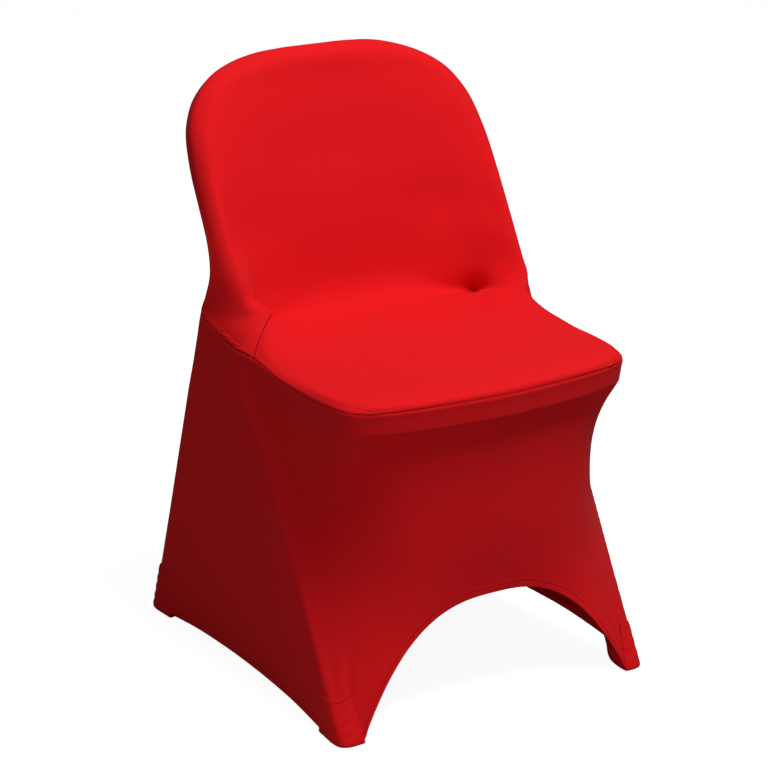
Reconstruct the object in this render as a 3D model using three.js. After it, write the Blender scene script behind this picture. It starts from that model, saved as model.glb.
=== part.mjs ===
// A stretch cover for a folding seat, worn: knit cloth pulled tight over a form that is left out.
// Millimetres, +Z up, front is -Y. The floor is z 0 and the origin is under the middle of the part's box.
// Each piece of cloth is a thin shell around a middle surface, which is a grid of points in rows and columns.
import * as THREE from 'three';

// Cloth and seams
const CLOTH = 2;            // thickness of one piece of cloth
const HEM_CLOTH = 3;        // thickness where the hem is turned up
const HEM_ROWS = 1;         // grid rows that the hem takes
const SEAM_GAP = 0.7;       // gap between two pieces that are sewn together
const RED = 0xc8141a;

// Legs of the form: each is a straight line in side view, y = foot + slope * z.
// The form stands a little askew in its cover, so left and right differ.
const LEG_RADIUS = 13;
const LEGS = {
  front: {
    left: { foot: -251, slope: 0.53, halfTrack: 220 },
    right: { foot: -258, slope: 0.53, halfTrack: 231 },
  },
  rear: {
    left: { foot: 271, slope: -0.345, halfTrack: 210 },
    right: { foot: 270, slope: -0.345, halfTrack: 208 },
  },
};
const FOOT_CLEAR = 4;       // the hem's lowest point at a foot, which leaves room for the sole under it

// Band round the front of the seat, under the rim seam
const BAND_HEIGHT = 30;
const BAND_INSET = 3;       // how far the foot of the band is drawn in
const BAND_BACK_Y = -190;   // behind this the cloth leaves the seat and runs straight to the leg

// Hems between the feet
const FRONT_ARCH = { rise: 154, power: 2.7, bow: 16, halfWidth: 208, centre: 8 };
const REAR_ARCH = { rise: 120, power: 2.3, bow: -22, halfWidth: 200, centre: 0 };
const SIDE_ARCH = {
  left: { rise: 12, power: 2, bow: 7 },
  right: { rise: 30, power: 3, bow: 9 },
};

// Foot pockets: a patch outside the corner of the hem, a sole on the floor and a tongue inside
const POCKET = {
  rows: [1.35, 1, 0.5, 0],  // grid rows above the hem
  side: 0.35,               // share of a column that the patch reaches past the leg, at its side
  tongue: 36,
  stand: 1.2,               // gap between the patch and the cloth under it
  flare: 1.5,
  inset: 3.5,
  bow: 8,
};

// The tables below are drawn about the middle of the seat. This brings the middle of the box to the origin.
const TO_ORIGIN = { x: -5, y: 3 };

// Grid steps
const STEPS_ACROSS = [2, 2, 2, 3, 2, 2];   // between the columns of the table below, edge to centre
const STEPS_DOWN = {                       // between its rows, where it isn't 1
  crest: 2, brow: 2, upper: 2, joint: 3, side: 2, tube: 3, seatFront: 2,
};
const SKIRT_STEPS = 12;                    // rows of the skirt, rim seam to hem

// Sections of the seat and back panel, from the top seam down the back and forward to the rim seam.
// Each row is the right half of one section, in two lines, and the left half mirrors it.
// Each place is [x, y, z], and the places follow the columns' names.
const SECTION_COLUMNS = ['edge', 'shoulder', 'ridge', 'flank', 'mid', 'lap', 'centre'];
const SECTIONS = {
  topSeam: [
    [92, 191, 805], [78, 192, 807], [62, 192, 808], [46, 192, 809],
    [30, 192, 809], [15, 192, 809], [0, 192, 809]],
  crest: [
    [128, 187, 797], [112, 183, 807], [87, 180, 813], [64, 179, 815],
    [42, 179, 816], [21, 179, 816], [0, 179, 816]],
  brow: [
    [164, 180, 782], [161, 169, 793], [137, 158, 797], [103, 158, 802],
    [68, 160, 805], [34, 161, 806], [0, 162, 806]],
  upper: [
    [197, 166, 757], [200, 151, 767], [180, 140, 771], [141, 144, 774],
    [93, 149, 777], [46, 153, 778], [0, 155, 778]],
  high: [
    [218, 147, 721], [224, 131, 726], [210, 117, 728], [171, 123, 730],
    [115, 133, 731], [57, 140, 731], [0, 143, 731]],
  chest: [
    [226, 126, 680], [232, 110, 681], [220, 93, 682], [188, 102, 683],
    [131, 118, 683], [65, 129, 683], [0, 133, 683]],
  middle: [
    [228, 103, 635], [234, 85, 636], [223, 68, 637], [199, 80, 637],
    [143, 104, 637], [71, 117, 637], [0, 121, 637]],
  low: [
    [228, 83, 590], [235, 61, 591], [224, 43, 592], [206, 57, 591],
    [153, 93, 590], [77, 109, 590], [0, 112, 590]],
  waist: [
    [227, 76, 553], [235, 42, 551], [225, 20, 551], [208, 29, 550],
    [162, 80, 546], [85, 103, 545], [0, 107, 545]],
  neck: [
    [226, 90, 516], [236, 36, 514], [226, 2, 518], [203, 11, 516],
    [169, 74, 508], [93, 99, 504], [0, 105, 503]],
  joint: [
    [224, 114, 484], [237, 46, 497], [226, -7, 505], [197, 5, 509],
    [174, 72, 492], [99, 96, 487], [0, 102, 486]],
  side: [
    [230, 66, 471], [237, 24, 483], [222, -14, 496], [192, 3, 506],
    [180, 74, 479], [103, 93, 476], [0, 98, 476]],
  tube: [
    [231, 14, 457], [231, -9, 471], [216, -20, 489], [188, 3, 504],
    [186, 77, 468], [108, 90, 468], [0, 92, 468]],
  slit: [
    [228, -33, 453], [220, -28, 468], [207, -23, 483], [184, 2, 501],
    [190, 78, 460], [112, 83, 465], [0, 84, 463]],
  lap: [
    [227, -60, 449], [220, -54, 458], [203, -44, 468], [177, -15, 486],
    [146, 28, 480], [93, 60, 470], [0, 64, 459]],
  seatRear: [
    [226, -95, 446], [220, -90, 455], [206, -82, 460], [174, -60, 468],
    [132, -24, 465], [78, -6, 460], [0, -2, 458]],
  seatMid: [
    [225, -138, 446], [220, -133, 455], [207, -129, 458], [167, -114, 460],
    [114, -89, 458], [58, -80, 457], [0, -78, 457]],
  seatFore: [
    [223, -181, 446], [218, -176, 455], [207, -172, 457], [163, -162, 458],
    [110, -152, 457], [54, -148, 457], [0, -147, 457]],
  seatFront: [
    [219, -224, 446], [213, -217, 455], [202, -211, 457], [156, -209, 457],
    [103, -211, 457], [50, -212, 457], [0, -212, 457]],
  corner: [
    [211, -248, 446], [205, -240, 454], [194, -236, 457], [149, -242, 457],
    [98, -248, 457], [48, -252, 457], [0, -253, 457]],
  roll: [
    [202, -258, 446], [192, -259, 453], [174, -263, 456], [138, -270, 456],
    [92, -277, 456], [46, -281, 456], [0, -283, 456]],
  rimSeam: [
    [191, -264, 446], [176, -270, 446], [158, -275, 446], [128, -281, 446],
    [88, -286, 446], [44, -290, 446], [0, -292, 446]],
};

// How far a section lies to the right of the middle, where the cover sits askew
const SIDEWAYS = { topSeam: -3, crest: -4, brow: -5, upper: -4, high: -2 };

const mix = (a, b, t) => a + (b - a) * t;
const clamp01 = (t) => Math.min(1, Math.max(0, t));
const smooth = (t) => clamp01(t) ** 2 * (3 - 2 * clamp01(t));
const mirrored = (p) => [-p[0], p[1], p[2]];

// One smooth curve through a list of points, with the given number of steps in each span.
function curveThrough(points, steps) {
  const curve = new THREE.CatmullRomCurve3(points, false, 'centripetal');
  const spans = points.length - 1;
  const out = [];
  for (let span = 0; span < spans; span += 1) {
    for (let k = 0; k < steps[span]; k += 1) {
      out.push(curve.getPoint((span + k / steps[span]) / spans));
    }
  }
  out.push(points[spans].clone());
  return out;
}

// Seat and back panel: curves run down the table's columns first, then across them.
function seatAndBackGrid() {
  const names = Object.keys(SECTIONS);
  const down = names.slice(0, -1).map((name) => STEPS_DOWN[name] ?? 1);
  const across = [...STEPS_ACROSS, ...[...STEPS_ACROSS].reverse()];
  const half = SECTION_COLUMNS.length - 1;
  const whole = names.map((name) => {
    const right = SECTIONS[name];
    const section = [...right.map(mirrored), ...right.slice(0, half).reverse()];
    return section.map(([x, y, z]) => new THREE.Vector3(x + (SIDEWAYS[name] ?? 0), y, z));
  });
  const columns = whole[0].map((_, c) => curveThrough(whole.map((row) => row[c]), down));
  const grid = columns[0].map((_, r) => curveThrough(columns.map((column) => column[r]), across));
  const rowOf = (name) => down.slice(0, names.indexOf(name)).reduce((sum, n) => sum + n, 0);
  return { grid, rowOf };
}

// Film: every point that isn't pinned settles at the mean of its four neighbours, as stretched cloth does.
function settle(grid, pinned, pull, sweeps = 600) {
  const rows = grid.length;
  const columns = grid[0].length;
  const total = 2 * (pull.along + pull.down);
  for (let sweep = 0; sweep < sweeps; sweep += 1) {
    for (let r = 1; r < rows - 1; r += 1) {
      for (let c = 1; c < columns - 1; c += 1) {
        if (pinned[r][c]) continue;
        grid[r][c].set(0, 0, 0)
          .addScaledVector(grid[r][c - 1], pull.along / total)
          .addScaledVector(grid[r][c + 1], pull.along / total)
          .addScaledVector(grid[r - 1][c], pull.down / total)
          .addScaledVector(grid[r + 1][c], pull.down / total);
      }
    }
  }
}

// The point on a leg of the form at height z, turned by angle from straight out sideways.
// side is -1 on the left and 1 on the right; a positive angle turns towards the front.
const legOf = (end, side) => (side < 0 ? LEGS[end].left : LEGS[end].right);
function onLeg(end, side, z, angle) {
  const leg = legOf(end, side);
  const x = side * (leg.halfTrack + LEG_RADIUS * Math.cos(angle));
  const y = leg.foot + leg.slope * z - LEG_RADIUS * Math.sin(angle);
  return new THREE.Vector3(x, y, z);
}
// How far the cloth wraps round the front leg: hardly at the seat, and a right angle at the floor.
const WRAP_LOW = 88;
const WRAP_HIGH = 20;
const SEAT_HEIGHT = 450;
const frontWrap = (z) => mix(WRAP_LOW, WRAP_HIGH, clamp01(z / SEAT_HEIGHT)) * Math.PI / 180;
const REAR_SEAM_ANGLE = -Math.PI / 4;
const REAR_WRAP = -Math.PI / 2;

const archRise = (arch, u) => arch.rise * (1 - Math.abs(u) ** arch.power);

const onEdge = (grid, r, c) => (
  r === 0 || c === 0 || r === grid.length - 1 || c === grid[0].length - 1);

// A hem between two feet: u runs from -1 to 1 across, and the hem bows in as it rises.
function archPoint(arch, u, footY) {
  const rise = archRise(arch, u);
  const y = footY + arch.bow * rise / arch.rise;
  return new THREE.Vector3(arch.centre + u * arch.halfWidth, y, FOOT_CLEAR + rise);
}

// Skirt: one band from the left rear edge round the front to the right rear edge.
function skirtGrid(rim, ridgeColumn) {
  const last = rim.length - 1;
  const grid = [];
  const pinned = [];
  for (let r = 0; r <= SKIRT_STEPS; r += 1) {
    grid.push(rim.map((p) => p.clone()));
    pinned.push(rim.map(() => r === 0 || r === SKIRT_STEPS));
  }
  const pin = (r, c, point) => {
    grid[r][c].copy(point);
    pinned[r][c] = true;
  };
  // distance along the rim between the two legs, as a share, places the hem's points
  const along = [0];
  for (let c = ridgeColumn + 1; c <= last - ridgeColumn; c += 1) {
    along.push(along.at(-1) + rim[c].distanceTo(rim[c - 1]));
  }
  const hem = grid[SKIRT_STEPS];
  for (const side of [-1, 1]) {
    const at = (c) => (side < 0 ? c : last - c);
    const arch = side < 0 ? SIDE_ARCH.left : SIDE_ARCH.right;
    const seamFoot = onLeg('rear', side, FOOT_CLEAR, REAR_SEAM_ANGLE);
    const sideFoot = onLeg('rear', side, FOOT_CLEAR, 0);
    for (let r = 1; r <= SKIRT_STEPS; r += 1) {
      const t = r / SKIRT_STEPS;
      pin(r, at(0), rim[at(0)].clone().lerp(seamFoot, t));
      pin(r, at(1), rim[at(1)].clone().lerp(sideFoot, t));
      const onRim = 1 - smooth(t * 4);
      for (const step of [-1, 0, 1]) {
        const c = at(ridgeColumn + step);
        const z = mix(rim[c].z, FOOT_CLEAR, t);
        const angle = frontWrap(z) * (step + 1) / 2;
        pin(r, c, onLeg('front', side, z, angle).lerp(rim[c].clone().setZ(z), onRim));
      }
    }
    const first = hem[at(1)].clone();
    const end = hem[at(ridgeColumn - 1)].clone();
    for (let c = 2; c < ridgeColumn - 1; c += 1) {
      const t = (c - 1) / (ridgeColumn - 2);
      const rise = archRise(arch, 2 * t - 1);
      hem[at(c)].lerpVectors(first, end, t);
      hem[at(c)].x -= side * arch.bow * rise / arch.rise;
      hem[at(c)].z += rise;
    }
  }
  const leftFootY = hem[ridgeColumn + 1].y;
  const rightFootY = hem[last - ridgeColumn - 1].y;
  for (let c = ridgeColumn + 2; c <= last - ridgeColumn - 2; c += 1) {
    const share = (along[c - ridgeColumn] - along[2]) / (along.at(-3) - along[2]);
    hem[c].copy(archPoint(FRONT_ARCH, archShare(share, FRONT_ARCH), mix(leftFootY, rightFootY, share)));
  }
  // band under the front of the rim
  const bandRow = 1;
  for (let c = ridgeColumn; c <= last - ridgeColumn; c += 1) {
    if (rim[c].y > BAND_BACK_Y) continue;
    const foot = rim[c].clone();
    foot.z -= BAND_HEIGHT;
    foot.x -= Math.sign(foot.x) * Math.min(BAND_INSET, Math.abs(foot.x) / 60);
    foot.y += BAND_INSET;
    pin(bandRow, c, foot);
  }
  settle(grid, pinned, { along: 1, down: 0.8 });
  return grid;
}

// Turns a share of an arch's length into its place across, from -1 to 1.
function archShare(share, arch, samples = 200) {
  const lengths = [0];
  const place = (k) => -1 + 2 * k / samples;
  for (let k = 1; k <= samples; k += 1) {
    const step = archPoint(arch, place(k), 0).distanceTo(archPoint(arch, place(k - 1), 0));
    lengths.push(lengths.at(-1) + step);
  }
  const target = clamp01(share) * lengths.at(-1);
  const k = lengths.findIndex((length) => length >= target);
  if (k <= 0) return -1;
  return mix(place(k - 1), place(k), (target - lengths[k - 1]) / (lengths[k] - lengths[k - 1]));
}

// Rear panel: from the hood's seam down to the hem between the rear feet.
// Its two sides are the hood's edge and then the skirt's rear edges.
// Its columns run from right to left, so that its normals point backwards.
function rearGrid(rightSide, leftSide, topSeam, hoodRows) {
  const rows = rightSide.length;
  const columns = topSeam.length;
  const grid = rightSide.map((right, r) => (
    topSeam.map((_, c) => right.clone().lerp(leftSide[r], c / (columns - 1)))));
  const pinned = grid.map((row, r) => row.map((_, c) => onEdge(grid, r, c)));
  topSeam.forEach((point, c) => grid[0][c].copy(point));
  const hem = grid[rows - 1];
  for (let r = hoodRows + 1; r < rows; r += 1) {
    for (const [c, side] of [[1, 1], [columns - 2, -1]]) {
      const t = smooth((r - hoodRows) / 3);
      const { z } = grid[r][side > 0 ? 0 : columns - 1];
      grid[r][c].lerp(onLeg('rear', side, z, REAR_WRAP), t);
      pinned[r][c] = t === 1;
    }
  }
  const footY = hem[1].y;
  for (let c = 2; c < columns - 2; c += 1) {
    const u = -archShare((c - 2) / (columns - 5), REAR_ARCH);
    hem[c].copy(archPoint(REAR_ARCH, u, footY));
  }
  settle(grid, pinned, { along: 1, down: 0.3 });
  return grid;
}

// Normals of a grid's points. Rows run down and columns run so that these point to the worn outside.
function gridNormals(grid) {
  return grid.map((row, r) => row.map((_, c) => {
    const up = grid[Math.max(r - 1, 0)][c];
    const down = grid[Math.min(r + 1, grid.length - 1)][c];
    const left = row[Math.max(c - 1, 0)];
    const right = row[Math.min(c + 1, row.length - 1)];
    const normal = new THREE.Vector3().crossVectors(down.clone().sub(up), right.clone().sub(left));
    return normal.normalize();
  }));
}

// Points that lie on the same seam share one normal, so that the cut edges of both pieces face each other.
const keyOf = (p) => [p.x, p.y, p.z].map((value) => value.toFixed(3)).join(' ');
function shareSeamNormals(pieces) {
  const sums = new Map();
  for (const piece of pieces) {
    forEachEdge(piece.grid, (r, c) => {
      const key = keyOf(piece.grid[r][c]);
      sums.set(key, (sums.get(key) ?? new THREE.Vector3()).add(piece.normals[r][c]));
    });
  }
  for (const piece of pieces) {
    forEachEdge(piece.grid, (r, c) => {
      const sum = sums.get(keyOf(piece.grid[r][c]));
      piece.normals[r][c].copy(sum).normalize();
    });
  }
}
function forEachEdge(grid, visit) {
  grid.forEach((row, r) => row.forEach((_, c) => {
    if (onEdge(grid, r, c)) visit(r, c);
  }));
}

// A closed shell of cloth round a grid, drawn in by half a seam gap along its edge.
function clothShell({ grid, normals, thickness }) {
  const rows = grid.length;
  const columns = grid[0].length;
  const positions = [];
  const inner = (k, count) => Math.min(Math.max(k, 1), count - 2);
  const inward = (r, c) => {
    const step = grid[inner(r, rows)][inner(c, columns)].clone().sub(grid[r][c]);
    if (step.lengthSq() === 0) return step;
    return step.addScaledVector(normals[r][c], -step.dot(normals[r][c])).setLength(SEAM_GAP / 2);
  };
  for (const face of [1, -1]) {
    for (let r = 0; r < rows; r += 1) {
      for (let c = 0; c < columns; c += 1) {
        const point = grid[r][c].clone().add(inward(r, c));
        point.addScaledVector(normals[r][c], face * thickness(r, c) / 2);
        positions.push(point.x + TO_ORIGIN.x, point.y + TO_ORIGIN.y, point.z);
      }
    }
  }
  const index = (face, r, c) => (face * rows + r) * columns + c;
  const triangles = [];
  const quad = (a, b, c, d) => triangles.push(a, b, c, a, c, d);
  for (let r = 0; r < rows - 1; r += 1) {
    for (let c = 0; c < columns - 1; c += 1) {
      quad(index(0, r, c), index(0, r + 1, c), index(0, r + 1, c + 1), index(0, r, c + 1));
      quad(index(1, r, c), index(1, r, c + 1), index(1, r + 1, c + 1), index(1, r + 1, c));
    }
  }
  for (let r = 0; r < rows - 1; r += 1) {
    quad(index(0, r, 0), index(1, r, 0), index(1, r + 1, 0), index(0, r + 1, 0));
    const c = columns - 1;
    quad(index(0, r + 1, c), index(1, r + 1, c), index(1, r, c), index(0, r, c));
  }
  for (let c = 0; c < columns - 1; c += 1) {
    quad(index(0, 0, c + 1), index(1, 0, c + 1), index(1, 0, c), index(0, 0, c));
    const r = rows - 1;
    quad(index(0, r, c), index(1, r, c), index(1, r, c + 1), index(0, r, c + 1));
  }
  const geometry = new THREE.BufferGeometry();
  geometry.setAttribute('position', new THREE.Float32BufferAttribute(positions, 3));
  geometry.setIndex(triangles);
  geometry.computeVertexNormals();
  return geometry;
}

function clothMesh(name, geometry) {
  const material = new THREE.MeshStandardMaterial({ color: RED, roughness: 0.75, metalness: 0 });
  const mesh = new THREE.Mesh(geometry, material);
  mesh.name = name;
  return mesh;
}

// Grids of the three large pieces
const { grid: bodyGrid, rowOf } = seatAndBackGrid();
const joint = rowOf('joint');
const bodyColumns = bodyGrid[0].length - 1;
const bodyRows = bodyGrid.length - 1;
const column = (c, from, to) => bodyGrid.slice(from, to + 1).map((row) => row[c]);
const rim = [
  ...column(0, joint, bodyRows),
  ...bodyGrid[bodyRows].slice(1, bodyColumns),
  ...column(bodyColumns, joint, bodyRows).reverse(),
];
const ridge = rowOf('tube') + 1 - joint;
const skirt = skirtGrid(rim, ridge);
const skirtLast = skirt[0].length - 1;
const rearSide = (c, edge) => [...column(c, 0, joint), ...skirt.slice(1).map((row) => row[edge])];
const topSeam = [...bodyGrid[0]].reverse();
const rear = rearGrid(rearSide(bodyColumns, skirtLast), rearSide(0, 0), topSeam, joint);

const pieces = [
  { name: 'seat_and_back_panel', grid: bodyGrid, thickness: () => CLOTH },
  { name: 'skirt', grid: skirt, thickness: (r) => (r > SKIRT_STEPS - HEM_ROWS ? HEM_CLOTH : CLOTH) },
  { name: 'rear_panel', grid: rear, thickness: (r) => (r > rear.length - 1 - HEM_ROWS ? HEM_CLOTH : CLOTH) },
];
for (const piece of pieces) piece.normals = gridNormals(piece.grid);
shareSeamNormals(pieces);

// A foot pocket: wall outside the corner, from its top edge down to the hem, then a sole and a tongue.
// The corner lists the places that the wall covers, from left to right as seen from outside:
// a column of a piece's grid, and the angle that its outside faces, as on a leg.
function footPocket(name, corner, end, side) {
  const sample = ({ piece, column: c }, up) => {
    const { grid } = piece;
    const r = grid.length - 1 - up;
    const across = (row) => (
      grid[row][Math.floor(c)].clone().lerp(grid[row][Math.ceil(c)], c - Math.floor(c)));
    return across(Math.floor(r)).lerp(across(Math.ceil(r)), r - Math.floor(r));
  };
  const outward = ({ angle }) => new THREE.Vector3(side * Math.cos(angle), -Math.sin(angle), 0);
  const stand = (HEM_CLOTH + CLOTH) / 2 + POCKET.stand;
  const flare = (k) => (k === 0 || k === corner.length - 1 ? POCKET.flare : 0);
  const wall = POCKET.rows.map((up) => (
    corner.map((place, k) => sample(place, up).addScaledVector(outward(place), stand + flare(k)))));
  const outer = wall.at(-1).map((p) => p.clone().setZ(CLOTH / 2));
  const inside = (place) => (
    sample(place, 0).addScaledVector(outward(place), -POCKET.inset).setZ(CLOTH / 2));
  const from = inside(corner[0]);
  const to = inside(corner.at(-1));
  const back = new THREE.Vector3(-side, end === 'front' ? 1 : -1, 0).normalize();
  const chord = corner.map((_, k) => {
    const t = k / (corner.length - 1);
    return from.clone().lerp(to, t).addScaledVector(back, POCKET.bow * Math.sin(Math.PI * t));
  });
  const halfway = outer.map((p, k) => p.clone().lerp(chord[k], 0.5));
  const upLeg = new THREE.Vector3(0, legOf(end, side).slope, 1);
  const tongue = [0.5, 1].map((t) => chord.map((p) => p.clone().addScaledVector(upLeg, t * POCKET.tongue)));
  const grid = [...wall, outer, halfway, chord, ...tongue];
  const normals = gridNormals(grid);
  return clothMesh(name, clothShell({ grid, normals, thickness: () => CLOTH }));
}

const [, skirtPiece, rearPiece] = pieces;
const rearLast = rear[0].length - 1;
const OUT = 0;
const FRONT = Math.PI / 2;
const inOrder = (side, places) => (side < 0 ? places : places.reverse());
function frontCorner(side) {
  const column = (step) => (side < 0 ? ridge + step : skirtLast - ridge - step);
  const places = [[-1 - POCKET.side, OUT], [-1, OUT], [0, FRONT / 2], [1, FRONT], [2, FRONT]];
  return inOrder(side, places.map(([step, angle]) => ({ piece: skirtPiece, column: column(step), angle })));
}
function rearCorner(side) {
  const onSkirt = (c) => (side < 0 ? c : skirtLast - c);
  const onRear = (c) => (side < 0 ? rearLast - c : c);
  return inOrder(side, [
    { piece: rearPiece, column: onRear(2.5), angle: REAR_WRAP },
    { piece: rearPiece, column: onRear(1), angle: REAR_WRAP },
    { piece: skirtPiece, column: onSkirt(0), angle: REAR_SEAM_ANGLE },
    { piece: skirtPiece, column: onSkirt(1), angle: OUT },
    { piece: skirtPiece, column: onSkirt(1 + POCKET.side), angle: OUT },
  ]);
}
const pockets = [
  ['foot_pocket_front_left', 'front', -1, frontCorner(-1)],
  ['foot_pocket_front_right', 'front', 1, frontCorner(1)],
  ['foot_pocket_rear_left', 'rear', -1, rearCorner(-1)],
  ['foot_pocket_rear_right', 'rear', 1, rearCorner(1)],
];

const cover = new THREE.Group();
for (const piece of pieces) cover.add(clothMesh(piece.name, clothShell(piece)));
for (const [name, end, side, corner] of pockets) cover.add(footPocket(name, corner, end, side));

export default cover;
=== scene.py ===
# %% [markdown]
# # A stretch cover for a folding seat
# The real thing is three large pieces of red knit cloth with elastic yarn in it, and a doubled patch at
# each foot. It is pulled over a folding seat like a sock. The cloth then lies as tight as a soap film: it
# follows the edges and the legs of the form, and runs straight through the air between them. This file
# builds that cloth. Each cell first says what a piece is on the real cover, and then makes it.

import bpy
import numpy as np
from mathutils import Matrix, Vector


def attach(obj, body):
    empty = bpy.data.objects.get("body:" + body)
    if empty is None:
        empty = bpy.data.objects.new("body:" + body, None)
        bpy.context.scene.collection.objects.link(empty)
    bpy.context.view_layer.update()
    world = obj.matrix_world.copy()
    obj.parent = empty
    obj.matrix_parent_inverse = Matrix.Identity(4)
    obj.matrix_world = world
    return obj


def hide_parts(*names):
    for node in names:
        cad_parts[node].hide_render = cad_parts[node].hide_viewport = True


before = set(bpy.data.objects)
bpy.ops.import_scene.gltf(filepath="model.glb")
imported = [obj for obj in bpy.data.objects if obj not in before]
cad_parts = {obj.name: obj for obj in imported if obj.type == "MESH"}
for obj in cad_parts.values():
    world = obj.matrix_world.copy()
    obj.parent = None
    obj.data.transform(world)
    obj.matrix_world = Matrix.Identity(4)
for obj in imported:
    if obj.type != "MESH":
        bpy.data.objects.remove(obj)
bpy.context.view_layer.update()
MM = 0.001

# %% [markdown]
# The camera comes first, because every later choice is judged through it. It stands left of the front and
# a little above, and its lens is long, as in a product picture. The picture was cut off-centre, and a
# small shift does the same here.

# %% Camera
SENSOR = 36.0                        # mm across the film
FOCAL = 120.9                        # mm
CAMERA_PLACE = (-1.7872, -2.8090, 1.4936)
CAMERA_TARGET = (-0.005, -0.022, 0.4189)
PICTURE = 768                        # pixels along each side
OFF_CENTRE = (-12, -24.7)            # pixels that the cut moved the picture's middle


def look_at(piece, target):
    """Turns a lamp or camera so that its own -Z looks at the target."""
    way = Vector(target) - piece.location
    piece.rotation_euler = way.to_track_quat("-Z", "Y").to_euler()


camera = bpy.data.objects.new("camera", bpy.data.cameras.new("camera"))
bpy.context.scene.collection.objects.link(camera)
bpy.context.scene.camera = camera
camera.location = CAMERA_PLACE
look_at(camera, CAMERA_TARGET)
camera.data.sensor_width = SENSOR
camera.data.lens = FOCAL
camera.data.shift_x, camera.data.shift_y = (pixels / PICTURE for pixels in OFF_CENTRE)

# %% [markdown]
# Every shape here is a grid of points in rows and columns, worked out with numpy. The grids start coarse,
# with only the points that the cloth really hangs on. A smooth curve through them then gives as many rows
# and columns as a close look needs. The curve is a centripetal one, which doesn't overshoot where points
# lie unevenly.

# %% Curves through points
ROOT = 0.5      # a centripetal curve takes the square root of each chord


def curve_at(points, places):
    """Reads the smooth curve through points at places: 2.5 is half way from point 2 to point 3.
    Each span is a cubic. Its end slopes weigh the chords beside it by the square roots of their lengths."""
    points = np.asarray(points, float)
    places = np.asarray(places, float)
    ahead, behind = 2 * points[:1] - points[1:2], 2 * points[-1:] - points[-2:-1]
    padded = np.concatenate([ahead, points, behind])
    span = np.clip(np.floor(places).astype(int), 0, len(points) - 2)
    t = (places - span).reshape(-1, *[1] * (points.ndim - 1))
    p0, p1, p2, p3 = (padded[span + k] for k in range(4))

    def knot(a, b):
        return np.maximum(np.linalg.norm((b - a)[..., :3], axis=-1, keepdims=True), 1e-4) ** ROOT
    d0, d1, d2 = knot(p0, p1), knot(p1, p2), knot(p2, p3)
    leave = d1 * ((p1 - p0) / d0 - (p2 - p0) / (d0 + d1) + (p2 - p1) / d1)
    arrive = d1 * ((p2 - p1) / d1 - (p3 - p1) / (d1 + d2) + (p3 - p2) / d2)
    return ((2 * t ** 3 - 3 * t ** 2 + 1) * p1 + (t ** 3 - 2 * t ** 2 + t) * leave
            + (3 * t ** 2 - 2 * t ** 3) * p2 + (t ** 3 - t ** 2) * arrive)


def places_of(steps):
    """Places with that many steps in each span: (2, 3) gives 0, 1/2, 1, 4/3, 5/3, 2."""
    parts = [span + np.arange(count) / count for span, count in enumerate(steps)]
    return np.concatenate([*parts, [len(steps)]])


def mix(a, b, t):
    return a + (b - a) * t


def smooth(t):
    """A soft step from 0 to 1."""
    t = np.clip(t, 0, 1)
    return t * t * (3 - 2 * t)


def bell(distance, width):
    """1 at no distance, falling softly to nothing over about two widths."""
    return np.exp(-(distance / width) ** 2)


# %% [markdown]
# The seat and back panel is one length of cloth. Its shape is known from sections: rows across the cloth,
# from the seam at the top of the back, down the hollow front of the back, into the lap, and forward over
# the seat to the seam under its rim. The two outer columns lie on the upright of the form, and the middle
# ones bridge it. Only the right half is written down, in mm, and the left half mirrors it.

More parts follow.
